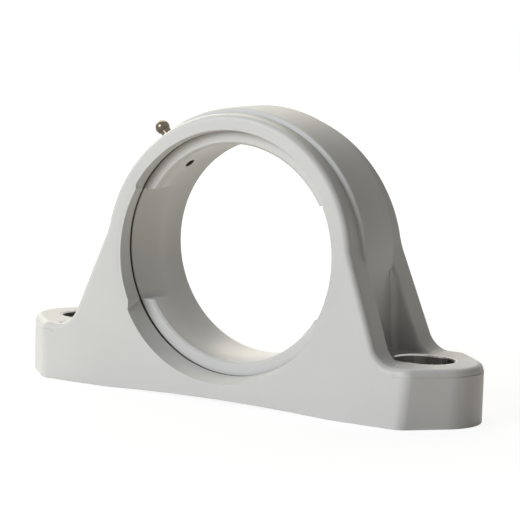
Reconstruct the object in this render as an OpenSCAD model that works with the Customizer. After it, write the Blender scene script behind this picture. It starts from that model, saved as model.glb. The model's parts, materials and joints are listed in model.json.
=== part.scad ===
// Pillow block housing for a spherical insert bearing, shown without its bearing.
// One moulded body, two pressed-in bolt sleeves and a grease nipple with a check ball.
// Millimetres. The origin is on the base plane, under the middle of the bore.
// X runs along the base, Y along the bore with the front at -Y, and Z up.

/* [Base] */
// Height of the bore axis above the base
axis_h = 63.5; // [61:0.5:76]
// Overall length of the base
base_len = 223; // [221:1:236]
// Depth of the base, front to back
base_depth = 60; // [57:1:64]
// How far the front and back faces lean in, in degrees
face_lean = 4.2; // [3:0.1:5]
// Height of the feet
foot_h = 25.2; // [20:0.4:30]
// Radius of the corners of a foot, seen from above
corner_r = 7; // [6:0.5:8]
// Radius of the tip of a foot, seen from above
tip_r = 21; // [18:0.5:22]
// Small step at the parting line under the rounded edge of a foot
cap_step = 0.3; // [0.25:0.05:0.4]
// Length of the arched relief under the base
relief_len = 114; // [80:1:130]
// Rise of the arched relief under the base
relief_rise = 1.6; // [0.8:0.1:3]

/* [Arch] */
// Outside radius of the front and back plates round the bore
plate_r = 61.2; // [60.4:0.1:62.2]
// How far the middle band stands proud of the plates
band_step = 2; // [1.8:0.1:3]
// Width of the middle band, between the two plates
band_w = 25.6; // [24:0.4:28]
// Mould draft of the band, either side of the parting line
draft = 1; // [0:0.1:1.2]
// How far a flank stands outside the plate radius at the height of the bore axis
flank_set = 2.2; // [1.6:0.1:2.6]
// Distance from the foot of a flank to the corner of the base
flank_margin = 9.4; // [9:0.1:12]
// Radius of the blend between the arch and a flank
flank_blend = 42; // [20:1:60]
// Radius of the fillet between a flank and the foot
foot_fillet = 11; // [7:0.5:11.5]

/* [Rounding] */
// Radius of the outer edges of the plates and feet
edge_r = 2.8; // [1.6:0.1:3.2]
// Radius of the edges of the plates on the pocket side
pocket_edge_r = 1; // [0.5:0.1:1.3]
// Radius of the edges of the band
band_edge_r = 1.1; // [0.5:0.1:1.2]
// Radius of the fillets in the pockets over the feet
pocket_fillet = 3; // [1.5:0.5:4]

/* [Bearing seat] */
// Diameter of the spherical seat
seat_d = 100; // [97:0.5:101]
// Distance between the two shoulders, across the seat
seat_w = 32.8; // [30:0.4:34.4]
// Bevel at the mouths of the seat
mouth_bevel = 1.3; // [0.6:0.1:1.6]
// Diameter of the rear recess for an end cover
cover_d = 110.8; // [109.2:0.4:112]
// Width of the snap groove at the bottom of the recess
groove_w = 1.7; // [1:0.1:2.5]
// Depth of the snap groove
groove_depth = 1.4; // [0.8:0.1:1.6]
// Draft of the front recess, which opens towards the front face, in degrees
recess_draft = 11; // [8:0.5:12]
// Height of the loading slots in the front shoulder
slot_h = 49; // [40:1:56]
// How far the floor of a loading slot lies outside the seat at the shoulder
slot_clear = 3; // [2:0.1:3.4]

/* [Bolt holes] */
// Distance between the bolt hole centres
bolt_span = 171; // [167:1:175]
// Width of the hole in a sleeve
hole_w = 20.5; // [17:0.5:21.5]
// Length of the hole in a sleeve
hole_len = 26.5; // [24:0.5:27.5]
// Wall of a sleeve
sleeve_wall = 1.5; // [1:0.1:2]
// Bevel inside the top rim of a sleeve
sleeve_bevel = 0.6; // [0.2:0.1:0.9]

/* [Grease nipple] */
// Direction of the nipple round the bore, from +X
nipple_angle = 135; // [120:1:150]
// Place of the nipple along the bore, from the middle
nipple_y = 2; // [-2:0.5:3]
// Thread diameter of the nipple
thread_d = 6; // [5:0.5:8]
// Length of thread in the housing
thread_len = 6; // [5:0.5:7]
// Width of the hexagon across its flats
hex_af = 7; // [7:0.5:10]
// Height of the hexagon
hex_h = 3.6; // [2.5:0.1:4]
// Diameter of the neck under the head
neck_d = 4.8; // [4.4:0.1:5.4]
// Diameter of the ball head
head_d = 6.5; // [6.2:0.1:7.5]
// Height of the middle of the head above the hexagon's seat
head_rise = 8.3; // [7.6:0.1:10]
// Diameter of the flat tip of the head
tip_d = 3; // [2.6:0.1:3.4]
// Depth of the spot face under the hexagon
spot_depth = 0.35; // [0.2:0.05:0.8]
// Diameter of the grease passage into the seat
passage_d = 4.6; // [2.5:0.1:5]

/* [Check valve] */
// Diameter of the check ball
ball_d = 2.9; // [2.4:0.1:3]
// Diameter of the chamber that the ball and spring sit in
chamber_d = 3.2; // [3.2:0.1:3.6]
// Diameter of the inlet in the tip
inlet_d = 1.8; // [1.2:0.1:2]
// Diameter of the hole left by the crimped rim
crimp_d = 1.8; // [1.2:0.1:2]
// Thickness of the crimped rim
crimp_h = 0.6; // [0.4:0.1:1]
// Gap between the ball and its seat
ball_gap = 0.05; // [0.02:0.01:0.1]
// Wire diameter of the spring
wire_d = 0.4; // [0.3:0.05:0.5]
// Clearance of the spring in its chamber and at its ends
spring_gap = 0.1; // [0.05:0.05:0.2]
// Turns of the spring
spring_turns = 8; // [5:1:10]

/* [Hidden] */
$fn = 96;
arc_steps = 6;
overlap = 1;
reach = 400;
chamfer_angle = 45;
blend_strips = 3;
strip_w = 6;
strip_inset = 4.2;
// The end of a flank's rim turns in by this angle and so runs out in the foot's own rim
toe = 4;
toe_turn = 6;
// Round pieces are larger by this factor, so that they cross the straight ones at a small angle
lap_angle = 4;
lap = 1 / cos(lap_angle);
// Turned and tilted pieces lie this much, or a few times this much, inside the flat faces they meet
hair = 0.01;

half_base = base_depth / 2;
half_band = band_w / 2;
band_r = plate_r + band_step;
band_side_r = band_r - half_band * tan(draft);
seat_r = seat_d / 2;
half_seat = seat_w / 2;
mouth_r = sqrt(seat_r * seat_r - half_seat * half_seat) + mouth_bevel;
cover_r = cover_d / 2;
slot_r = seat_r + slot_clear;
front_r = slot_r + 20 * hair;
core_r = seat_r - 10;
plate_t = 14;

// Heights measured up the leaning face
face_axis = axis_h / cos(face_lean);
face_foot = foot_h / cos(face_lean);
cap_z = foot_h - edge_r;
wall_z = cap_z - overlap / 2;
face_wall = (wall_z - 0.3 * overlap) / cos(face_lean);

// Foot, seen from above at the base: a tip arc, corner arcs and the straight chamfers between them
tip_x = base_len / 2 - tip_r * lap;
corner_y = half_base - corner_r / cos(face_lean);
corner_x = tip_x + (tip_r - corner_r) / cos(chamfer_angle) - corner_y;
chamfer_len = (tip_x - corner_x + corner_y) * cos(chamfer_angle);
corner_tilt = atan(tan(face_lean) / cos(chamfer_angle));

// The same outline at the parting line, a small step further in
cap_y = half_base - cap_z * tan(face_lean) - cap_step - corner_r;
cap_tip_r = tip_r - cap_step;
cap_x = tip_x + (cap_tip_r - corner_r) / cos(chamfer_angle) - cap_y;
cap_len = (tip_x - cap_x + cap_y) * cos(chamfer_angle);

// Flank of a plate: a straight line with a blend into the arch and a fillet into the foot
flank_top = plate_r + flank_set;
flank_foot = corner_x - flank_margin;
lean = atan((flank_foot - flank_top) / (face_axis - face_foot));
flank_dist = flank_top * cos(lean);
leave_angle = lean - acos((flank_dist + flank_blend) / (plate_r + flank_blend));
blend_x = (plate_r + flank_blend) * cos(leave_angle);
blend_z = face_axis + (plate_r + flank_blend) * sin(leave_angle);
fillet_x = flank_foot + foot_fillet * tan((90 - lean) / 2);
fillet_z = face_foot + foot_fillet;
flank_low = [fillet_x - foot_fillet * cos(lean), fillet_z - foot_fillet * sin(lean)];
flank_high = [blend_x - flank_blend * cos(lean), blend_z - flank_blend * sin(lean)];

// Nipple, measured outwards from the bore axis
nipple_seat = band_r - spot_depth;
head_z = nipple_seat + head_rise;
shank_z = nipple_seat - thread_len;
hex_top = nipple_seat + hex_h;
chamber_r = chamber_d / 2;
ball_r = ball_d / 2;
ball_z = head_z + chamber_r - ball_d * cos(45) - ball_gap / cos(45);
wire_r = wire_d / 2;
coil_r = chamber_r - spring_gap - wire_r;
spring_low = shank_z + crimp_h + wire_r + spring_gap;
spring_high = ball_z - sqrt(pow(ball_r + wire_r + spring_gap, 2) - pow(coil_r, 2));

// Points along an arc
function arc(cx, cy, r, from, to) =
    [for (i = [0:arc_steps]) let (a = from + (to - from) * i / arc_steps)
        [cx + r * cos(a), cy + r * sin(a)]];

// A half outline followed by its mirror image in the line y = 0
function both_ways(half) =
    concat(half, [for (i = [len(half) - 1:-1:0]) if (half[i][1] != 0) [half[i][0], -half[i][1]]]);

// Outer edge of the band, from the front to the parting line
function band_edge() =
    concat(arc(band_side_r - band_edge_r, -half_band + band_edge_r, band_edge_r, -90, 0),
           [[band_r, 0]]);

// Section of a plate's rim, set inside the plate's faces: distance outside the edge against depth
function rim_section(width, inside) =
    concat([[-width, inside]],
           arc(-edge_r, inside + edge_r, edge_r, -90, 0),
           arc(-pocket_edge_r, plate_t - inside - pocket_edge_r, pocket_edge_r, 0, 90),
           [[-width, plate_t - inside]]);

// Section of the rounded rim on top of a foot: distance outside the edge against height
function cap_section(width, height) =
    concat([[-width, cap_z - 2 * overlap], [0, cap_z - 2 * overlap]],
           arc(-edge_r, height - edge_r, edge_r, 0, 90),
           [[-width, height]]);

// Turns a section about a line along Y through (x, z)
module turn_about_y(x, z, from, sweep) {
    translate([x, 0, z]) rotate([90, 0, 0]) rotate([0, 0, from])
        rotate_extrude(angle = sweep) children();
}

// The children and their mirror images front to back
module front_and_back() {
    children();
    mirror([0, 1, 0]) children();
}

// The children and their mirror images left to right
module left_and_right() {
    children();
    mirror([1, 0, 0]) children();
}

// Places the children with Y running in from the leaning front face and Z up along it
module on_front_face() {
    translate([0, -half_base, 0]) rotate([-face_lean, 0, 0]) children();
}

// Band over the bore, with straight sides from the height of the axis down to the base
module band() {
    side = both_ways(band_edge());
    turn_about_y(0, axis_h, 0, 180) polygon(both_ways(concat([[core_r, -half_band]], band_edge())));
    translate([0, 0, -overlap]) linear_extrude(axis_h + overlap)
        polygon(concat(side, [for (i = [len(side) - 1:-1:0]) [-side[i][0], side[i][1]]]));
}

// Core round the seat, which joins the band to the plates
module core() {
    half = half_band + 4 * overlap;
    r = band_r - 2.5 * overlap;
    turn_about_y(0, axis_h, 0, 180) translate([core_r, -half]) square([r - core_r, 2 * half]);
    translate([-r, -half, -overlap]) cube([2 * r, 2 * half, axis_h + 2 * overlap]);
}

// Straight piece of a plate's rim that touches the blend circle at one angle
module blend_strip(angle, below, inside) {
    above = flank_blend * tan((lean - leave_angle) / blend_strips / 2) + 2 * overlap;
    translate([blend_x, 0, blend_z]) rotate([0, -angle, 0]) translate([-flank_blend, 0, -below])
        linear_extrude(below + above) polygon(rim_section(strip_w, inside));
}

// Rounded rim of one flank of a plate, from the arch down to the foot and a little along it
module flank_rim() {
    step = (lean - leave_angle) / blend_strips;
    for (i = [1:blend_strips - 1])
        blend_strip(lean - i * step, flank_blend * tan(step / 2) + 2 * overlap, (i + 1) * hair);
    blend_strip(lean, norm(flank_high - flank_low) + 2 * overlap, hair);
    turn_about_y(fillet_x, fillet_z, lean + 180, 90 - lean)
        polygon([for (p = rim_section(strip_w + overlap, 2 * hair))
            [foot_fillet * lap - p[0], -p[1]]]);
    translate([fillet_x, 0, face_foot]) rotate([0, 0, toe_turn]) translate([toe, 0, 0])
        rotate([0, -90, 0]) linear_extrude(toe + overlap / 2)
            polygon(rim_section(strip_w, 8 * hair));
}

// Web of a plate inside its rims, with the front walls of the feet
module plate_web() {
    low = -2 * overlap;
    side = concat(
        [[corner_x + low * sin(face_lean), low],
         [corner_x + face_wall * sin(face_lean), face_wall],
         [fillet_x + overlap, face_wall], [fillet_x + overlap, face_foot - strip_inset]],
        arc(fillet_x, fillet_z, foot_fillet + strip_inset, 262, lean + 180),
        arc(blend_x, blend_z, flank_blend + strip_inset, lean + 180, leave_angle + 180),
        [[core_r * cos(leave_angle), face_axis + core_r * sin(leave_angle) + overlap]]);
    translate([0, plate_t, 0]) rotate([90, 0, 0]) linear_extrude(plate_t)
        polygon(concat(side, [for (i = [len(side) - 1:-1:0]) [-side[i][0], side[i][1]]]));
}

// Upright fillet in the pocket, between a plate and the side of the band
module pocket_fillet_bar() {
    far_x = band_r + pocket_fillet;
    in_x = band_r - 3 * overlap;
    intersection() {
        translate([0, 0, face_foot - 2 * overlap]) linear_extrude(face_axis - face_foot)
            polygon(concat([[in_x, plate_t - overlap], [far_x, plate_t - overlap]],
                           arc(far_x, plate_t + pocket_fillet, pocket_fillet, 270, 180),
                           [[in_x, plate_t + pocket_fillet]]));
        translate([flank_low[0], 0, flank_low[1]]) rotate([0, -lean, 0])
            translate([-reach - pocket_edge_r, 0, -reach / 2]) cube([reach, reach, reach]);
    }
}

// Front plate: half a ring over the bore, the web below it and the rims of its flanks
module plate() {
    turn_about_y(0, face_axis, 0, 180)
        polygon([for (p = rim_section(plate_r - core_r, 0)) [plate_r + p[0], -p[1]]]);
    plate_web();
    left_and_right() flank_rim();
    left_and_right() pocket_fillet_bar();
}

// Base between the two plates, with the fillets along the floors of the pockets
module base() {
    deep = half_band + 7 * overlap;
    run = half_band + 3.5 * overlap;
    floor_fillet = 0.8 * pocket_fillet;
    in_x = band_r - 3 * overlap;
    far_x = band_r + floor_fillet - 5 * hair;
    translate([-fillet_x, -deep, -overlap]) cube([2 * fillet_x, 2 * deep, foot_h + overlap]);
    left_and_right() translate([0, run, 0]) rotate([90, 0, 0]) linear_extrude(2 * run)
        polygon(concat([[in_x, foot_h - overlap], [far_x, foot_h - overlap]],
                       arc(far_x, foot_h + floor_fillet, floor_fillet, 270, 180),
                       [[in_x, foot_h + floor_fillet]]));
}

// Front corner and chamfer of the right foot's wall, leaning with the front face
module corner_wall() {
    far = 2 * foot_h;
    intersection() {
        translate([corner_x, -corner_y, 0]) rotate([0, corner_tilt, chamfer_angle]) {
            translate([0, 0, -far / 2]) cylinder(r = corner_r * lap, h = 2 * far);
            translate([0, -corner_r, -far / 2]) cube([chamfer_len / 2, strip_w, 2 * far]);
        }
        translate([0, -reach / 2, -overlap]) cube([reach, reach, wall_z + overlap]);
    }
}

// Walls of the right foot, up to the parting line
module foot_wall() {
    tip_in = (tip_r - strip_inset) * cos(chamfer_angle);
    run = 0.7 * chamfer_len;
    front = [[fillet_x - 2 * overlap, -corner_y], [corner_x, -corner_y], [tip_x + tip_in, -tip_in]];
    front_and_back() corner_wall();
    translate([0, 0, -overlap]) {
        translate([tip_x, 0, 0]) cylinder(r = tip_r * lap, h = wall_z + overlap);
        front_and_back() translate([tip_x, 0, 0]) rotate([0, 0, -chamfer_angle])
            translate([tip_r - strip_w, -run, 0])
                cube([strip_w - hair, run - overlap / 2, wall_z + overlap - hair]);
        linear_extrude(wall_z + overlap) polygon(both_ways(front));
    }
}

// A round piece of the foot's rounded rim
module cap_round(r) {
    rotate_extrude() polygon([for (p = cap_section(r * lap, foot_h)) [r * lap + p[0], p[1]]]);
}

// One front corner of the right foot's rounded rim: straight, corner and chamfer
module cap_corner() {
    translate([cap_x, -cap_y - corner_r, 0]) rotate([90, 0, -90])
        linear_extrude(cap_x - fillet_x + overlap) polygon(cap_section(corner_r, foot_h));
    translate([cap_x, -cap_y, 0]) cap_round(corner_r);
    translate([tip_x, 0, 0]) rotate([90, 0, -chamfer_angle]) translate([cap_tip_r, 0, 0])
        linear_extrude(cap_len) polygon(cap_section(corner_r, foot_h - hair));
}

// Rounded rim and top of the right foot, above the parting line
module foot_cap() {
    c = cos(chamfer_angle);
    corner_in = corner_r - strip_inset;
    tip_in = cap_tip_r - strip_inset;
    front = [[fillet_x - 2 * overlap, -cap_y - corner_in], [cap_x, -cap_y - corner_in],
             [cap_x + corner_in * c, -cap_y - corner_in * c],
             [tip_x + tip_in * c, -tip_in * c]];
    front_and_back() cap_corner();
    translate([tip_x, 0, 0]) cap_round(cap_tip_r);
    translate([0, 0, cap_z - 2 * overlap]) linear_extrude(edge_r + 2 * overlap)
        polygon(both_ways(front));
}

// Moulded body before the bore and holes are cut
module body_blank() {
    band();
    core();
    front_and_back() on_front_face() plate();
    base();
    left_and_right() foot_wall();
    left_and_right() foot_cap();
}

// Everything under the base plane
module ground_cut() {
    translate([-reach / 2, -reach / 2, -reach]) cube([reach, reach, reach]);
}

// Spherical seat between the two shoulders
module seat_cut() {
    intersection() {
        translate([0, 0, axis_h]) rotate([90, 0, 0]) sphere(r = seat_r);
        translate([-reach / 2, -half_seat - overlap / 2, 0]) cube([reach, seat_w + overlap, reach]);
    }
}

// Bevel at the front mouth of the seat
module mouth_cut() {
    turn_about_y(0, axis_h, 0, 360)
        polygon([[0, half_seat - mouth_r / 2], [mouth_r / 2, half_seat - mouth_r / 2],
                 [mouth_r, half_seat], [mouth_r, half_seat + groove_w / 2],
                 [0, half_seat + groove_w / 2]]);
}

// Front recess for an end cover, with the snap groove at its bottom, widening by a draft angle
module recess_cut(r, angle) {
    low = half_seat + groove_w;
    high = half_base + overlap;
    turn_about_y(0, axis_h, 0, 360)
        polygon([[0, half_seat], [r + groove_depth, half_seat], [r + groove_depth, low],
                 [r, low], [r + (high - low) * tan(angle), high], [0, high]]);
}

// Loading slots for the bearing, which run out in the middle of the seat
module slot_cut() {
    low = -2 * overlap;
    high = half_seat + groove_w / 2;
    slope = slot_clear / half_seat;
    intersection() {
        turn_about_y(0, axis_h, 0, 360)
            polygon([[0, low], [seat_r + low * slope, low], [seat_r + high * slope, high], [0, high]]);
        translate([-reach / 2, -reach / 2, axis_h - slot_h / 2]) cube([reach, reach, slot_h]);
    }
}

// Thicker recess walls at the height of the loading slots, in front of the snap groove
module slot_pads() {
    low = half_seat + groove_w;
    in_x = sqrt(slot_r * slot_r - slot_h * slot_h / 4);
    out_r = front_r + overlap / 2;
    intersection() {
        turn_about_y(0, axis_h, 0, 360)
            polygon([[slot_r, low], [out_r, low],
                     [out_r + (half_base - low) * tan(recess_draft), half_base], [slot_r, half_base]]);
        left_and_right() translate([in_x, -reach / 2, -reach / 2]) cube([reach, reach, reach]);
        on_front_face() translate([-reach / 2, 4 * hair, -reach / 2]) cube([reach, reach, reach]);
    }
}

// Arched relief across the underside
module relief_cut() {
    half = relief_len / 2;
    r = (half * half + relief_rise * relief_rise) / (2 * relief_rise);
    spread = asin(half / r);
    translate([0, reach / 2, 0]) rotate([90, 0, 0]) linear_extrude(reach)
        polygon(concat(arc(0, relief_rise - r, r, 90 - spread, 90 + spread),
                       [[-half, -overlap], [half, -overlap]]));
}

// A section carried round an oblong hole: distance from the hole's middle line against height
module oblong(section) {
    run = hole_len - hole_w;
    for (side = [0, 180]) rotate([0, 0, side]) {
        translate([run / 2, 0, 0]) rotate([0, 0, -90]) rotate_extrude(angle = 180)
            polygon(section);
        translate([run / 2, 0, 0]) rotate([90, 0, 90]) mirror([0, 0, 1]) linear_extrude(run)
            polygon(section);
    }
}

// Hole for a sleeve
module sleeve_cut() {
    r = hole_w / 2 + sleeve_wall;
    oblong([[0, -overlap], [r, -overlap], [r, foot_h + overlap], [0, foot_h + overlap]]);
}

// A sleeve round one bolt hole, bevelled inside its top rim
module sleeve() {
    r = hole_w / 2;
    color("silver")
        oblong([[r, 0], [r + sleeve_wall, 0], [r + sleeve_wall, foot_h], [r + sleeve_bevel, foot_h],
                [r, foot_h - sleeve_bevel]]);
}

// Places the children with their Z axis along the nipple, measured from the bore axis
module along_nipple() {
    translate([0, nipple_y, axis_h]) rotate([0, 90 - nipple_angle, 0]) children();
}

// Spot face, thread hole and grease passage for the nipple
module nipple_cut() {
    spot_r = hex_af / sqrt(3) + overlap;
    along_nipple() {
        translate([0, 0, nipple_seat]) cylinder(r = spot_r, h = reach);
        translate([0, 0, shank_z]) cylinder(d = thread_d, h = thread_len + overlap);
        translate([0, 0, core_r]) cylinder(d = passage_d, h = shank_z - core_r + overlap);
    }
}

module housing() {
    color("gainsboro") {
        difference() {
            body_blank();
            ground_cut();
            seat_cut();
            mouth_cut();
            mirror([0, 1, 0]) mouth_cut();
            recess_cut(front_r, recess_draft);
            mirror([0, 1, 0]) recess_cut(cover_r, 0);
            slot_cut();
            relief_cut();
            left_and_right() translate([bolt_span / 2, 0, 0]) sleeve_cut();
            nipple_cut();
        }
        slot_pads();
    }
}

module bolt_sleeve_left() { translate([-bolt_span / 2, 0, 0]) sleeve(); }

module bolt_sleeve_right() { translate([bolt_span / 2, 0, 0]) sleeve(); }

// Turned outline of the nipple: shank, neck and ball head with a flat tip
module nipple_turned() {
    head_r = head_d / 2;
    neck_angle = -acos(neck_d / head_d);
    tip_angle = acos(tip_d / head_d);
    rotate_extrude()
        polygon(concat([[0, shank_z], [thread_d / 2, shank_z], [thread_d / 2, nipple_seat],
                        [neck_d / 2, hex_top]],
                       arc(0, head_z, head_r, neck_angle, tip_angle),
                       [[0, head_z + head_r * sin(tip_angle)]]));
}

// Chamber of the check valve, from the crimped rim to the inlet
module valve_cut() {
    cone_h = chamber_r - inlet_d / 2;
    rotate_extrude()
        polygon([[0, shank_z - overlap], [crimp_d / 2, shank_z - overlap],
                 [crimp_d / 2, shank_z + crimp_h], [chamber_r, shank_z + crimp_h],
                 [chamber_r, head_z], [inlet_d / 2, head_z + cone_h],
                 [inlet_d / 2, head_z + head_d], [0, head_z + head_d]]);
}

module grease_nipple() {
    color("slategray") along_nipple() difference() {
        union() {
            nipple_turned();
            translate([0, 0, nipple_seat]) cylinder(d = hex_af / cos(30), h = hex_h, $fn = 6);
        }
        valve_cut();
    }
}

module nipple_ball() {
    color("lightsteelblue") along_nipple() translate([0, 0, ball_z]) sphere(r = ball_r);
}

// Coil spring between the crimped rim and the ball, swept along a helix
module nipple_spring() {
    sides = 6;
    steps = 12 * spring_turns;
    points = [for (i = [0:steps], k = [0:sides - 1])
        let (turn = 360 * spring_turns * i / steps,
             w = 360 * k / sides,
             rad = coil_r + wire_r * cos(w))
        [rad * cos(turn), rad * sin(turn),
         spring_low + (spring_high - spring_low) * i / steps + wire_r * sin(w)]];
    rings = [for (i = [0:steps - 1], k = [0:sides - 1])
        let (a = i * sides + k, b = i * sides + (k + 1) % sides)
        [a, b, b + sides, a + sides]];
    low_end = [for (k = [sides - 1:-1:0]) k];
    high_end = [for (k = [0:sides - 1]) steps * sides + k];
    color("dimgray") along_nipple()
        polyhedron(points, concat(rings, [low_end, high_end]));
}

housing();
bolt_sleeve_left();
bolt_sleeve_right();
grease_nipple();
nipple_ball();
nipple_spring();
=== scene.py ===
"""Finishes and stage for a moulded pillow block housing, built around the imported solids."""

import json
import math

import bmesh
import bpy
import numpy as np
from mathutils import Matrix, Vector


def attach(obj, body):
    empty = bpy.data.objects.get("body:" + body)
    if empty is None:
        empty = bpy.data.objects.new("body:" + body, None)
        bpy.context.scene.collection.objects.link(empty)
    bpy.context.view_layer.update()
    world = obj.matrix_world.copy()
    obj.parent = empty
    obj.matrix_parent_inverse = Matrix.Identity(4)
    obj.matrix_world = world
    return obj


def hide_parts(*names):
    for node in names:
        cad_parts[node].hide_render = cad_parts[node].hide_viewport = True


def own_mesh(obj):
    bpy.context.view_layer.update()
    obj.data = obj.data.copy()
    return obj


bl_info = {
    "name": "Pillow Block Housing",
    "version": (1, 0, 0),
    "blender": (4, 5, 0),
    "location": "View3D > Sidebar > Pillow Block",
    "description": "Dresses a moulded pillow block housing and sets up its stage",
    "category": "Object",
}

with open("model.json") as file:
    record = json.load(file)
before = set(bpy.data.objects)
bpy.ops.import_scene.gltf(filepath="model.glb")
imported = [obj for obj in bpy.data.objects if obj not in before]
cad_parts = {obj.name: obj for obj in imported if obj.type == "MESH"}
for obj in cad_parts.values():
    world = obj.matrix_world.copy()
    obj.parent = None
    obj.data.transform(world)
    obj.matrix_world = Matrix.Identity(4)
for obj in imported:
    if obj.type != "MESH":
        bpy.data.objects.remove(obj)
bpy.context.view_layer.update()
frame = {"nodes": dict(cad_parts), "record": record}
MOUNTS = {mount["name"]: mount for mount in frame["record"]["mounts"]}

MM = 0.001
IMAGE_SIZE = 520
SENSOR_WIDTH = 36.0
MERGE_DISTANCE = 0.03 * MM
FACE_WEIGHT = 100
BEVEL_SAMPLES = 6

# Places on the part, from its mounts; the foot is where the nipple's line meets the bore's height
BORE_MIDDLE = Vector(MOUNTS["bearing_seat"]["pos_m"])
NIPPLE_HEAD = Vector(MOUNTS["nipple_head"]["pos_m"])
NIPPLE_AXIS = Vector(MOUNTS["nipple_head"]["axis"]).normalized()
NIPPLE_FOOT = Vector((BORE_MIDDLE.x, NIPPLE_HEAD.y, BORE_MIDDLE.z))

# Places of the masks; a pair is the two ends of a blend, or for the groove a middle and a half width
PASSAGE_REACH = 53.4 * MM
PASSAGE_MIDDLE = NIPPLE_FOOT + NIPPLE_AXIS * PASSAGE_REACH
PASSAGE_BLEND = (4.15 * MM, 3.8 * MM)
SEAT_MARGINS = (0.6 * MM, 0.2 * MM)
GROOVE_RADIUS = (55.3 * MM, 2.05 * MM)
GROOVE_PLACE = (-17.25 * MM, 0.95 * MM)
SLEEVE_RIM = 24.7 * MM
RIM_BLEND = 0.15 * MM

# Span of the broad noise over which every finish goes from its low to its high roughness
ROUGHNESS_BLEND = (0.3, 0.7)

# Finish of the plastic
FLOW_SCALE = 24.0
FLOW_BLEND = (0.35, 0.65)
PLASTIC_ROUGHNESS = (0.4, 0.5)
# Edges painted paler, partly a painted highlight and partly wear: their colour, the turn where it begins
# and its strength
EDGE_HIGHLIGHT_AND_WEAR = (0.8, 0.8, 0.79)
EDGE_TURN = 0.86
EDGE_HIGHLIGHT_AND_WEAR_STRENGTH = 0.35

# Finish of the metals
METAL_FINE_SCALE = 2200.0
METAL_BROAD_SCALE = 160.0
METAL_TINTS = (0.86, 1.1)
# Painted shade: how much darker the sleeves are below their rim, down the bolt holes
PAINTED_SHADE_LEVEL = 0.84

# Faces that meet at less than these angles are shaded as one
SLEEVE_SMOOTH = math.radians(30)
NIPPLE_SMOOTH = math.radians(24)
BALL_SMOOTH = math.radians(40)

# Fineness of the spring's mesh, round each turn and round the wire
COIL_STEPS = 28
WIRE_SIDES = 12

# Floor: half its width, the matte layer that carries the shadow, and its white near the part and far off
FLOOR_HALF = 4.0
FLOOR_SHADOW = (0.16, 0.16, 0.16)
FLOOR_DISTANCES = (0.12, 0.45)
FLOOR_LEVELS = (0.9, 1.0)

# Name, direction from the bore, distance, width, power and colour of each lamp
LAMPS = (
    ("key_lamp", (-0.38, -0.82, 0.42), 2.8, 1.55, 57.0, (0.97, 0.985, 1.0)),
    ("side_lamp", (-0.8, 0.3, 0.5), 1.6, 0.9, 7.0, (1.0, 0.98, 0.7)),
    ("back_lamp", (-0.4, 0.5, 0.75), 1.6, 1.2, 11.5, (1.0, 0.94, 0.78)),
)


class HousingSettings(bpy.types.PropertyGroup):
    """Finish of the moulded body."""

    colour: bpy.props.FloatVectorProperty(
        name="Plastic colour",
        description="Colour of the moulded thermoplastic",
        subtype="COLOR", size=3, min=0.0, max=1.0, default=(0.685, 0.69, 0.69))
    shade: bpy.props.FloatVectorProperty(
        name="Flow shade",
        description="Slightly darker grey of the flow patches in the moulding",
        subtype="COLOR", size=3, min=0.0, max=1.0, default=(0.655, 0.66, 0.66))
    grain: bpy.props.FloatProperty(
        name="Grain size",
        description="Size of the fine grain left by the mould",
        subtype="DISTANCE", unit="LENGTH", default=0.55 * MM, min=0.1 * MM, max=3 * MM)
    grain_depth: bpy.props.FloatProperty(
        name="Grain depth",
        description="Depth of the fine grain",
        subtype="DISTANCE", unit="LENGTH", default=0.012 * MM, min=0.0, max=0.2 * MM)
    seat_radius: bpy.props.FloatProperty(
        name="Seat radius",
        description="Radius of the spherical seat, which comes from a smoother part of the mould",
        subtype="DISTANCE", unit="LENGTH", default=50 * MM)
    seat_roughness: bpy.props.FloatProperty(
        name="Seat roughness",
        description="Roughness of the spherical seat",
        default=0.3, min=0.0, max=1.0)
    # Painted shade: this dark colour is painted down the grease passage in place of its shade
    passage: bpy.props.FloatVectorProperty(
        name="Painted passage shade",
        description="Colour of the painted shade down the grease passage",
        subtype="COLOR", size=3, min=0.0, max=1.0, default=(0.06, 0.055, 0.045))
    # Painted shade: this dark colour is painted down in the front groove in place of its shade
    groove: bpy.props.FloatVectorProperty(
        name="Painted groove shade",
        description="Colour of the painted shade down in the narrow snap groove of the front recess",
        subtype="COLOR", size=3, min=0.0, max=1.0, default=(0.16, 0.155, 0.15))
    edge: bpy.props.FloatProperty(
        name="Edge softness",
        description="Radius to which the crisp edges are softened",
        subtype="DISTANCE", unit="LENGTH", default=0.45 * MM, min=0.0, max=2 * MM)
    smooth_angle: bpy.props.FloatProperty(
        name="Smooth angle",
        description="Faces that meet at less than this angle are shaded as one",
        subtype="ANGLE", unit="ROTATION", default=math.radians(24), min=0.0, max=math.radians(90))


class MetalSettings(bpy.types.PropertyGroup):
    """Finishes of the sleeves, the nipple and the check valve."""

    sleeve: bpy.props.FloatVectorProperty(
        name="Sleeve colour",
        description="Colour of the drawn steel sleeves",
        subtype="COLOR", size=3, min=0.0, max=1.0, default=(0.46, 0.45, 0.43))
    nipple: bpy.props.FloatVectorProperty(
        name="Nipple colour",
        description="Colour of the dark plated nipple",
        subtype="COLOR", size=3, min=0.0, max=1.0, default=(0.15, 0.125, 0.1))
    valve: bpy.props.FloatVectorProperty(
        name="Valve colour",
        description="Colour of the check ball and its spring",
        subtype="COLOR", size=3, min=0.0, max=1.0, default=(0.6, 0.6, 0.61))


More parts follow.
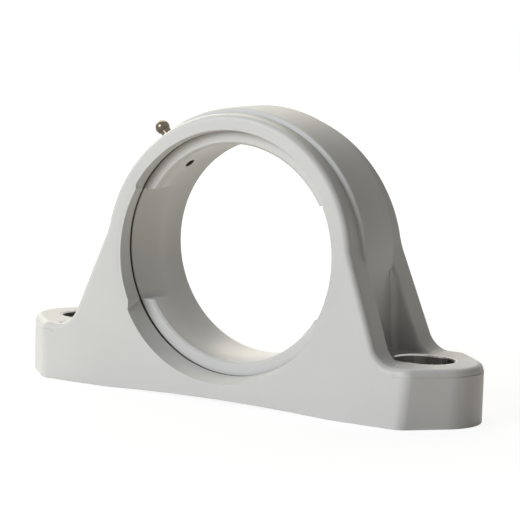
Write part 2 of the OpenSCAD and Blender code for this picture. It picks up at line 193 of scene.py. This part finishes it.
class SpringSettings(bpy.types.PropertyGroup):
    """Sizes of the check valve's coil spring, measured along the nipple from the bore axis."""

    low: bpy.props.FloatProperty(
        name="Low end",
        description="Distance of the wire's low end from the bore axis",
        subtype="DISTANCE", unit="LENGTH", default=57.75 * MM)
    high: bpy.props.FloatProperty(
        name="High end",
        description="Distance of the wire's high end from the bore axis",
        subtype="DISTANCE", unit="LENGTH", default=69.457 * MM)
    coil: bpy.props.FloatProperty(
        name="Coil radius",
        description="Radius of the coil at the middle of the wire",
        subtype="DISTANCE", unit="LENGTH", default=1.3 * MM)
    wire: bpy.props.FloatProperty(
        name="Wire radius",
        description="Radius of the spring wire",
        subtype="DISTANCE", unit="LENGTH", default=0.2 * MM)
    turns: bpy.props.FloatProperty(
        name="Turns", description="Number of turns of the coil", default=8.0)
    stroke: bpy.props.FloatProperty(
        name="Stroke",
        description="How far the check ball presses the spring together",
        subtype="DISTANCE", unit="LENGTH", default=0.8 * MM)


class StageSettings(bpy.types.PropertyGroup):
    """Camera, lamps and floor."""

    azimuth: bpy.props.FloatProperty(
        name="Azimuth", description="Camera direction round the part, from the front to the right",
        subtype="ANGLE", unit="ROTATION", default=math.radians(30.45))
    elevation: bpy.props.FloatProperty(
        name="Elevation", description="Camera height angle above the base",
        subtype="ANGLE", unit="ROTATION", default=math.radians(7.77))
    roll: bpy.props.FloatProperty(
        name="Roll", description="Turn of the camera about its line of sight",
        subtype="ANGLE", unit="ROTATION", default=math.radians(1.88))
    distance: bpy.props.FloatProperty(
        name="Distance", description="Distance of the camera from its target",
        subtype="DISTANCE", unit="LENGTH", default=1.0521)
    target_x: bpy.props.FloatProperty(
        name="Target X", description="Camera target along the base",
        subtype="DISTANCE", unit="LENGTH", default=3.14 * MM)
    target_z: bpy.props.FloatProperty(
        name="Target Z", description="Camera target above the base",
        subtype="DISTANCE", unit="LENGTH", default=62.71 * MM)
    focal_px: bpy.props.FloatProperty(
        name="Focal length", description="Focal length in pixels of the square image", default=2402.9)
    centre_x: bpy.props.FloatProperty(
        name="Centre X", description="Pixel column that the camera looks at", default=259.43)
    centre_y: bpy.props.FloatProperty(
        name="Centre Y", description="Pixel row that the camera looks at", default=252.46)
    backdrop: bpy.props.FloatVectorProperty(
        name="Backdrop", description="Colour of the backdrop as seen",
        subtype="COLOR", size=3, min=0.0, max=1.0, default=(1.0, 1.0, 1.0))
    ambient: bpy.props.FloatVectorProperty(
        name="Ambient", description="Colour and level of the light from all round",
        subtype="COLOR", size=3, min=0.0, max=1.0, default=(0.02, 0.019, 0.018))
    floor: bpy.props.FloatVectorProperty(
        name="Floor", description="Colour of the floor as it throws light back",
        subtype="COLOR", size=3, min=0.0, max=1.0, default=(0.9, 0.86, 0.8))


class Wiring:
    """Adds nodes to a tree and links them, left to right in a few rows."""

    column_width = 190
    row_height = 160
    rows = 5

    def __init__(self, tree):
        self.tree = tree
        self.column = 0

    def add(self, kind, inputs=None, **settings):
        node = self.tree.nodes.new(kind)
        node.location = (self.column * self.column_width,
                         -(self.column % self.rows) * self.row_height)
        self.column += 1
        for name, value in settings.items():
            setattr(node, name, value)
        for name, value in (inputs or {}).items():
            if isinstance(value, bpy.types.NodeSocket):
                self.tree.links.new(value, node.inputs[name])
            else:
                node.inputs[name].default_value = value
        return node

    def link(self, source, target):
        self.tree.links.new(source, target)

    def remap(self, value, low, high, to_low=0.0, to_high=1.0):
        """A value carried from one span to another and held at the ends."""
        node = self.add("ShaderNodeMapRange", {"Value": value, "From Min": low, "From Max": high,
                                               "To Min": to_low, "To Max": to_high})
        return node.outputs["Result"]

    def mix(self, factor, first, second):
        """Two mixed colours, each given as a socket or as three plain values."""
        first, second = (colour if isinstance(colour, bpy.types.NodeSocket) else (*colour, 1.0)
                         for colour in (first, second))
        node = self.add("ShaderNodeMix", {"Factor": factor, "A": first, "B": second},
                        data_type="RGBA")
        return node.outputs["Result"]

    def math(self, operation, *values):
        """The result of one step of arithmetic."""
        node = self.add("ShaderNodeMath", dict(enumerate(values)), operation=operation)
        return node.outputs["Value"]

    def distance(self, place, point):
        """How far a place is from a point."""
        node = self.add("ShaderNodeVectorMath", {0: place, 1: point}, operation="DISTANCE")
        return node.outputs["Value"]


def empty_tree(owner):
    """Clears the node tree of a material or a world and gives the wiring for it."""
    owner.use_nodes = True
    owner.node_tree.nodes.clear()
    return Wiring(owner.node_tree)


def new_material(name):
    """A material with only its output and Principled shader."""
    material = bpy.data.materials.new(name)
    wiring = empty_tree(material)
    shader = wiring.add("ShaderNodeBsdfPrincipled")
    wiring.add("ShaderNodeOutputMaterial", {"Surface": shader.outputs["BSDF"]})
    return material, wiring, shader


def grain_group():
    """Shader group: fine grain with a broad unevenness under it."""
    name = "surface_grain"
    if name in bpy.data.node_groups:
        return bpy.data.node_groups[name]
    group = bpy.data.node_groups.new(name, "ShaderNodeTree")
    face = group.interface
    face.new_socket("Vector", in_out="INPUT", socket_type="NodeSocketVector")
    for label, value in (("Fine Scale", 1800.0), ("Broad Scale", 22.0), ("Roughness Low", 0.4),
                         ("Roughness High", 0.5)):
        socket = face.new_socket(label, in_out="INPUT", socket_type="NodeSocketFloat")
        socket.default_value = value
    for label in ("Fine Height", "Broad Height", "Roughness"):
        face.new_socket(label, in_out="OUTPUT", socket_type="NodeSocketFloat")
    wiring = Wiring(group)
    entry = wiring.add("NodeGroupInput").outputs
    fine = wiring.add("ShaderNodeTexNoise", {"Vector": entry["Vector"], "Scale": entry["Fine Scale"],
                                             "Detail": 3.0, "Roughness": 0.6})
    broad = wiring.add("ShaderNodeTexNoise", {"Vector": entry["Vector"],
                                              "Scale": entry["Broad Scale"], "Detail": 2.0})
    rough = wiring.remap(broad.outputs["Fac"], *ROUGHNESS_BLEND, entry["Roughness Low"],
                         entry["Roughness High"])
    wiring.add("NodeGroupOutput", {"Fine Height": fine.outputs["Fac"],
                                   "Broad Height": broad.outputs["Fac"], "Roughness": rough})
    return group


def use_grain(wiring, vector, fine, broad, roughness):
    """Places the grain group in a material with its own values."""
    low, high = roughness
    node = wiring.add("ShaderNodeGroup", {"Vector": vector, "Fine Scale": fine, "Broad Scale": broad,
                                          "Roughness Low": low, "Roughness High": high},
                      node_tree=grain_group())
    return node.outputs


def bore_masks(wiring, place, seat_radius):
    """Masks of the smooth seat, of the painted shade in the grease passage and of the painted shade in
    the narrow front groove.
    """
    seat = wiring.remap(wiring.distance(place, BORE_MIDDLE),
                        *(seat_radius + margin for margin in SEAT_MARGINS))
    # Painted shade down the grease passage: a blend round the middle of the passage
    passage = wiring.remap(wiring.distance(place, PASSAGE_MIDDLE), *PASSAGE_BLEND)
    # Painted shade in the narrow front groove: a ring at the groove's radius and depth along the bore
    upright = wiring.add("ShaderNodeVectorMath", {0: place, 1: (1.0, 0.0, 1.0)},
                         operation="MULTIPLY")
    from_axis = wiring.distance(upright.outputs["Vector"], BORE_MIDDLE)
    along_bore = wiring.add("ShaderNodeSeparateXYZ", {"Vector": place}).outputs["Y"]
    ring = wiring.math("COMPARE", from_axis, *GROOVE_RADIUS)
    depth = wiring.math("COMPARE", along_bore, *GROOVE_PLACE)
    groove = wiring.math("MULTIPLY", ring, depth)
    return seat, passage, groove


def plastic_material(settings):
    """Light grey thermoplastic: flow patches, fine grain, softened edges made slightly paler by a
    painted highlight and wear, and painted shade in the grease passage and the front groove.
    """
    material, wiring, shader = new_material("housing_plastic")
    place = wiring.add("ShaderNodeTexCoord").outputs["Object"]
    grain = use_grain(wiring, place, 1.0 / settings.grain, FLOW_SCALE, PLASTIC_ROUGHNESS)
    seat, passage, groove = bore_masks(wiring, place, settings.seat_radius)
    soft = wiring.add("ShaderNodeBevel", {"Radius": settings.edge}, samples=BEVEL_SAMPLES)
    flat = wiring.add("ShaderNodeNewGeometry").outputs["Normal"]
    across = wiring.add("ShaderNodeVectorMath", {0: soft.outputs["Normal"], 1: flat},
                        operation="DOT_PRODUCT")
    # Painted highlight and wear: edges, where the softened normal turns from the flat one, are painted
    # paler
    edge = wiring.remap(across.outputs["Value"], 1.0, EDGE_TURN, 0.0, EDGE_HIGHLIGHT_AND_WEAR_STRENGTH)
    patches = wiring.remap(grain["Broad Height"], *FLOW_BLEND)
    colour = wiring.mix(patches, settings.shade, settings.colour)
    colour = wiring.mix(edge, colour, EDGE_HIGHLIGHT_AND_WEAR)
    # Painted shade down the grease passage
    colour = wiring.mix(passage, colour, settings.passage)
    # Painted shade in the front groove
    colour = wiring.mix(groove, colour, settings.groove)
    rough = wiring.add("ShaderNodeMix", {"Factor": seat, "A": grain["Roughness"],
                                         "B": settings.seat_roughness})
    fine = wiring.add("ShaderNodeBump", {"Height": grain["Fine Height"],
                                         "Strength": wiring.math("SUBTRACT", 1.0, seat),
                                         "Distance": settings.grain_depth,
                                         "Normal": soft.outputs["Normal"]})
    wiring.link(colour, shader.inputs["Base Color"])
    wiring.link(rough.outputs["Result"], shader.inputs["Roughness"])
    wiring.link(fine.outputs["Normal"], shader.inputs["Normal"])
    return material


def metal_material(name, colour, roughness, depth, edge, stretch=(1.0, 1.0, 1.0), rim=None):
    """Metal with fine drawn streaks: stretch squeezes the grain along each axis.

    Where a rim height is given, the metal keeps its colour above it and is darkened below it by painted
    shade, down inside the hole.
    """
    material, wiring, shader = new_material(name)
    place = wiring.add("ShaderNodeTexCoord").outputs["Object"]
    squeeze = wiring.add("ShaderNodeMapping", {"Vector": place, "Scale": stretch})
    grain = use_grain(wiring, squeeze.outputs["Vector"], METAL_FINE_SCALE, METAL_BROAD_SCALE,
                      roughness)
    # Painted shade below a rim: the colour is darkened down inside the hole
    level = 1.0 if rim is None else PAINTED_SHADE_LEVEL
    dark, light = ([part * level * channel for channel in colour] for part in METAL_TINTS)
    shade = wiring.mix(grain["Broad Height"], dark, light)
    if rim is not None:
        height = wiring.add("ShaderNodeSeparateXYZ", {"Vector": place}).outputs["Z"]
        shade = wiring.mix(wiring.remap(height, rim - RIM_BLEND, rim), shade, colour)
    soft = wiring.add("ShaderNodeBevel", {"Radius": edge}, samples=BEVEL_SAMPLES)
    streaks = wiring.add("ShaderNodeBump", {"Height": grain["Fine Height"], "Strength": 1.0,
                                            "Distance": depth, "Normal": soft.outputs["Normal"]})
    shader.inputs["Metallic"].default_value = 1.0
    wiring.link(shade, shader.inputs["Base Color"])
    wiring.link(grain["Roughness"], shader.inputs["Roughness"])
    wiring.link(streaks.outputs["Normal"], shader.inputs["Normal"])
    return material


def give_material(piece, material):
    """Makes this the only material of a piece."""
    piece.data.materials.clear()
    piece.data.materials.append(material)


def smooth_copy(node, name, angle):
    """A merged copy of a solid's mesh, shaded smooth except at its crisp edges."""
    source = frame["nodes"][node].data
    solid = bmesh.new()
    points = np.empty(len(source.vertices) * 3)
    source.vertices.foreach_get("co", points)
    corners = [solid.verts.new(point) for point in points.reshape(-1, 3)]
    for polygon in source.polygons:
        if len(set(polygon.vertices)) == len(polygon.vertices):
            solid.faces.new([corners[i] for i in polygon.vertices])
    bmesh.ops.remove_doubles(solid, verts=solid.verts, dist=MERGE_DISTANCE)
    bmesh.ops.dissolve_degenerate(solid, edges=solid.edges, dist=MERGE_DISTANCE)
    for face in solid.faces:
        face.smooth = True
    for edge in solid.edges:
        edge.smooth = edge.calc_face_angle(math.pi) < angle
    mesh = bpy.data.meshes.new(name)
    solid.to_mesh(mesh)
    solid.free()
    piece = bpy.data.objects.new(name, mesh)
    bpy.context.scene.collection.objects.link(piece)
    weighted = piece.modifiers.new("even_shading", "WEIGHTED_NORMAL")
    weighted.keep_sharp = True
    weighted.weight = FACE_WEIGHT
    return piece


def add_smooth_piece(node, name, material, angle):
    """Puts a smooth copy in the place of a solid."""
    piece = smooth_copy(node, name, angle)
    give_material(piece, material)
    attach(piece, "check_ball" if node == "nipple_ball" else "block")
    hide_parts(node)
    return piece


class PILLOW_OT_housing(bpy.types.Operator):
    """Dress the moulded housing in light grey thermoplastic"""

    bl_idname = "pillow.housing"
    bl_label = "Housing"

    def execute(self, context):
        settings = context.scene.pillow_housing
        add_smooth_piece("housing", "moulded_housing",
                         plastic_material(settings), settings.smooth_angle)
        return {"FINISHED"}


class PILLOW_OT_sleeves(bpy.types.Operator):
    """Dress the two bolt sleeves in drawn steel"""

    bl_idname = "pillow.sleeves"
    bl_label = "Bolt sleeves"

    def execute(self, context):
        steel = metal_material("sleeve_steel", context.scene.pillow_metal.sleeve,
                               roughness=(0.2, 0.32), depth=0.01 * MM, edge=0.2 * MM,
                               stretch=(1.0, 1.0, 0.06), rim=SLEEVE_RIM)
        for side in ("left", "right"):
            add_smooth_piece("bolt_sleeve_" + side, "drawn_sleeve_" + side, steel,
                             SLEEVE_SMOOTH)
        return {"FINISHED"}


class PILLOW_OT_nipple(bpy.types.Operator):
    """Dress the grease nipple in dark plated metal"""

    bl_idname = "pillow.nipple"
    bl_label = "Grease nipple"

    def execute(self, context):
        plate = metal_material("nipple_metal", context.scene.pillow_metal.nipple,
                               roughness=(0.12, 0.24), depth=0.004 * MM, edge=0.25 * MM)
        add_smooth_piece("grease_nipple", "plated_nipple", plate, NIPPLE_SMOOTH)
        return {"FINISHED"}


def spring_tree(material):
    """Geometry nodes: a wire swept along a coil, set along the nipple."""
    tree = bpy.data.node_groups.new("valve_spring_coil", "GeometryNodeTree")
    face = tree.interface
    face.new_socket("Geometry", in_out="OUTPUT", socket_type="NodeSocketGeometry")
    for label in ("Length", "Coil Radius", "Wire Radius", "Turns"):
        face.new_socket(label, in_out="INPUT", socket_type="NodeSocketFloat")
    for label in ("Place", "Turn"):
        face.new_socket(label, in_out="INPUT", socket_type="NodeSocketVector")
    wiring = Wiring(tree)
    entry = wiring.add("NodeGroupInput").outputs
    coil = wiring.add("GeometryNodeCurveSpiral", {
        "Resolution": COIL_STEPS, "Rotations": entry["Turns"], "Start Radius": entry["Coil Radius"],
        "End Radius": entry["Coil Radius"], "Height": entry["Length"]})
    wire = wiring.add("GeometryNodeCurvePrimitiveCircle", {"Resolution": WIRE_SIDES,
                                                           "Radius": entry["Wire Radius"]})
    swept = wiring.add("GeometryNodeCurveToMesh", {"Curve": coil.outputs["Curve"],
                                                   "Profile Curve": wire.outputs["Curve"],
                                                   "Fill Caps": True})
    placed = wiring.add("GeometryNodeTransform", {"Geometry": swept.outputs["Mesh"],
                                                  "Translation": entry["Place"],
                                                  "Rotation": entry["Turn"]})
    smooth = wiring.add("GeometryNodeSetShadeSmooth", {"Geometry": placed.outputs["Geometry"]})
    real = wiring.add("GeometryNodeRealizeInstances", {"Geometry": smooth.outputs["Geometry"]})
    painted = wiring.add("GeometryNodeSetMaterial", {"Geometry": real.outputs["Geometry"],
                                                     "Material": material})
    wiring.add("NodeGroupOutput", {"Geometry": painted.outputs["Geometry"]})
    return tree


def run_tree(name, tree, values, material):
    """Runs a geometry tree on an empty object and keeps the result as a plain mesh piece."""
    carrier = bpy.data.objects.new(name + "_carrier", bpy.data.meshes.new(name + "_carrier"))
    bpy.context.scene.collection.objects.link(carrier)
    modifier = carrier.modifiers.new(name, "NODES")
    modifier.node_group = tree
    for item in tree.interface.items_tree:
        if item.in_out == "INPUT" and item.name in values:
            modifier[item.identifier] = values[item.name]
    graph = bpy.context.evaluated_depsgraph_get()
    mesh = bpy.data.meshes.new_from_object(carrier.evaluated_get(graph), depsgraph=graph)
    if not mesh.polygons:
        raise RuntimeError(name + " came out empty")
    bpy.data.objects.remove(carrier)
    mesh.name = name
    piece = bpy.data.objects.new(name, mesh)
    bpy.context.scene.collection.objects.link(piece)
    give_material(piece, material)
    return piece


class PILLOW_OT_valve(bpy.types.Operator):
    """Dress the check ball and wind its spring"""

    bl_idname = "pillow.valve"
    bl_label = "Check valve"

    def execute(self, context):
        sizes = context.scene.pillow_spring
        steel = metal_material("valve_steel", context.scene.pillow_metal.valve,
                               roughness=(0.15, 0.25), depth=0.002 * MM, edge=0.05 * MM)
        add_smooth_piece("nipple_ball", "check_ball_steel", steel, BALL_SMOOTH)
        low_end = NIPPLE_FOOT + NIPPLE_AXIS * sizes.low
        turn = NIPPLE_AXIS.to_track_quat("Z", "Y").to_euler()
        values = {"Length": sizes.high - sizes.low, "Coil Radius": sizes.coil,
                  "Wire Radius": sizes.wire, "Turns": sizes.turns,
                  "Place": low_end, "Turn": Vector(turn)}
        spring = run_tree("valve_spring", spring_tree(steel), values, steel)
        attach(spring, "block")
        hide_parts("nipple_spring")
        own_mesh(spring)
        return {"FINISHED"}


def lit_or_seen(wiring, lit, seen):
    """One shader for the light thrown on the part, and another for what is seen or mirrored."""
    path = wiring.add("ShaderNodeLightPath").outputs
    rays = wiring.math("MAXIMUM", path["Is Camera Ray"], path["Is Glossy Ray"])
    rays = wiring.math("MAXIMUM", rays, path["Is Transmission Ray"])
    return wiring.add("ShaderNodeMixShader", {"Fac": rays, 1: lit, 2: seen}).outputs["Shader"]


def floor_material(settings):
    """Pale floor that throws light back and looks white, with the object's shadow on it."""
    material = bpy.data.materials.new("stage_floor")
    wiring = empty_tree(material)
    matte = wiring.add("ShaderNodeBsdfDiffuse", {"Color": (*settings.floor, 1.0)})
    shadowed = wiring.add("ShaderNodeBsdfDiffuse", {"Color": (*FLOOR_SHADOW, 1.0)})
    place = wiring.add("ShaderNodeTexCoord").outputs["Object"]
    away = wiring.add("ShaderNodeVectorMath", {0: place}, operation="LENGTH")
    level = wiring.remap(away.outputs["Value"], *FLOOR_DISTANCES, *FLOOR_LEVELS)
    white = wiring.add("ShaderNodeEmission", {"Color": (*settings.backdrop, 1.0), "Strength": level})
    seen = wiring.add("ShaderNodeAddShader", {0: shadowed.outputs["BSDF"],
                                              1: white.outputs["Emission"]})
    surface = lit_or_seen(wiring, matte.outputs["BSDF"], seen.outputs["Shader"])
    wiring.add("ShaderNodeOutputMaterial", {"Surface": surface})
    return material


def add_floor(settings):
    """A large level floor under the part."""
    mesh = bpy.data.meshes.new("stage_floor")
    corners = [(x * FLOOR_HALF, y * FLOOR_HALF, 0.0) for x, y in ((-1, -1), (1, -1), (1, 1), (-1, 1))]
    mesh.from_pydata(corners, [], [(0, 1, 2, 3)])
    floor = bpy.data.objects.new("stage_floor", mesh)
    bpy.context.scene.collection.objects.link(floor)
    give_material(floor, floor_material(settings))


def set_world(settings):
    """Soft light from all round, with a white backdrop where it is seen."""
    world = bpy.data.worlds.new("stage_world")
    bpy.context.scene.world = world
    wiring = empty_tree(world)
    light = wiring.add("ShaderNodeBackground", {"Color": (*settings.ambient, 1.0), "Strength": 1.0})
    white = wiring.add("ShaderNodeBackground", {"Color": (*settings.backdrop, 1.0), "Strength": 1.0})
    surface = lit_or_seen(wiring, light.outputs["Background"], white.outputs["Background"])
    wiring.add("ShaderNodeOutputWorld", {"Surface": surface})


def add_lamp(name, direction, distance, size, power, colour):
    """A square soft lamp that looks at the part from one direction."""
    lamp = bpy.data.lights.new(name, "AREA")
    lamp.shape = "SQUARE"
    lamp.size = size
    lamp.energy = power
    lamp.color = colour
    holder = bpy.data.objects.new(name, lamp)
    towards = Vector(direction).normalized()
    holder.matrix_world = (Matrix.Translation(BORE_MIDDLE + towards * distance)
                           @ towards.to_track_quat("Z", "Y").to_matrix().to_4x4())
    bpy.context.scene.collection.objects.link(holder)


def add_camera(settings):
    """Camera at the photograph's angle, given by its focal length in pixels."""
    back = Vector((math.sin(settings.azimuth) * math.cos(settings.elevation),
                   -math.cos(settings.azimuth) * math.cos(settings.elevation),
                   math.sin(settings.elevation)))
    right = Vector((0.0, 0.0, 1.0)).cross(back).normalized()
    up = back.cross(right)
    across = right * math.cos(settings.roll) + up * math.sin(settings.roll)
    upward = up * math.cos(settings.roll) - right * math.sin(settings.roll)
    place = Vector((settings.target_x, 0.0, settings.target_z)) + back * settings.distance
    data = bpy.data.cameras.new("photo_camera")
    data.sensor_width = SENSOR_WIDTH
    data.lens = settings.focal_px * SENSOR_WIDTH / IMAGE_SIZE
    data.shift_x = 0.5 - settings.centre_x / IMAGE_SIZE
    data.shift_y = settings.centre_y / IMAGE_SIZE - 0.5
    camera = bpy.data.objects.new("photo_camera", data)
    turn = Matrix((across, upward, back)).transposed()
    camera.matrix_world = Matrix.Translation(place) @ turn.to_4x4()
    bpy.context.scene.collection.objects.link(camera)
    bpy.context.scene.camera = camera


class PILLOW_OT_stage(bpy.types.Operator):
    """Set up the camera, the lamps, the floor and the backdrop"""

    bl_idname = "pillow.stage"
    bl_label = "Stage"

    def execute(self, context):
        settings = context.scene.pillow_stage
        add_camera(settings)
        set_world(settings)
        add_floor(settings)
        for lamp in LAMPS:
            add_lamp(*lamp)
        context.scene.view_settings.view_transform = "Standard"
        return {"FINISHED"}


class PILLOW_PT_panel(bpy.types.Panel):
    """Lists the steps that dress the part"""

    bl_idname = "PILLOW_PT_panel"
    bl_label = "Pillow Block"
    bl_space_type = "VIEW_3D"
    bl_region_type = "UI"
    bl_category = "Pillow Block"

    def draw(self, context):
        for step in STEPS:
            self.layout.operator(step.bl_idname)
        for name in SETTINGS:
            group = getattr(context.scene, name)
            for prop in group.bl_rna.properties:
                if prop.identifier not in ("rna_type", "name"):
                    self.layout.prop(group, prop.identifier)


SETTINGS = {
    "pillow_housing": HousingSettings,
    "pillow_metal": MetalSettings,
    "pillow_spring": SpringSettings,
    "pillow_stage": StageSettings,
}
STEPS = (PILLOW_OT_stage, PILLOW_OT_housing, PILLOW_OT_sleeves, PILLOW_OT_nipple, PILLOW_OT_valve)
CLASSES = (*SETTINGS.values(), *STEPS, PILLOW_PT_panel)


def register():
    for item in CLASSES:
        bpy.utils.register_class(item)
    for name, group in SETTINGS.items():
        setattr(bpy.types.Scene, name, bpy.props.PointerProperty(type=group))


def unregister():
    for name in SETTINGS:
        delattr(bpy.types.Scene, name)
    for item in reversed(CLASSES):
        bpy.utils.unregister_class(item)


def main():
    register()
    bpy.ops.pillow.stage()
    bpy.ops.pillow.housing()
    bpy.ops.pillow.sleeves()
    bpy.ops.pillow.nipple()
    bpy.ops.pillow.valve()


if __name__ == "__main__":
    main()
